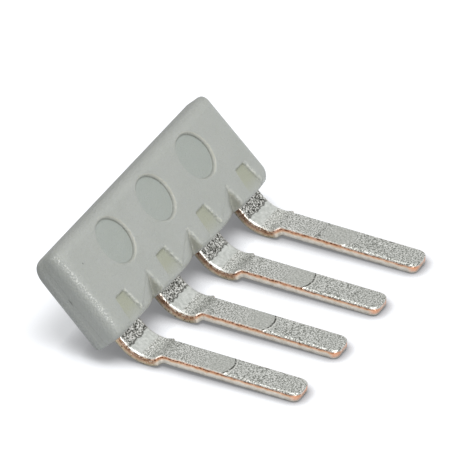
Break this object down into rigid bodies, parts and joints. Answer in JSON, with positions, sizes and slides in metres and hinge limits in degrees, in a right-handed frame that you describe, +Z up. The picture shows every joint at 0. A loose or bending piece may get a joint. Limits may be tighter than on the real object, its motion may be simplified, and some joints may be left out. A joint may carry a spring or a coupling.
{
  "type": "terminal block jumper bar",
  "caption": "Comb-shaped bridging bar: a flat insulated grip with a row of bent flat metal prongs that links neighbouring rail terminals.",
  "frame": {"origin": "middle of the row of prongs, at the shoulders where the blades begin, on the level of the bends' undersides", "axes": "+X along the row of prongs, -Y the way the blades point, +Z up, with the housing leaning up to +Y and +Z"},
  "size_m": [0.0194, 0.0155, 0.0058],
  "materials": {
    "housing_plastic": "satin",
    "tinned_copper": "satin"
  },
  "bodies": {
    "root": {"insulating_housing": "housing_plastic", "contact_comb": "tinned_copper"}
  },
  "joints": []
}
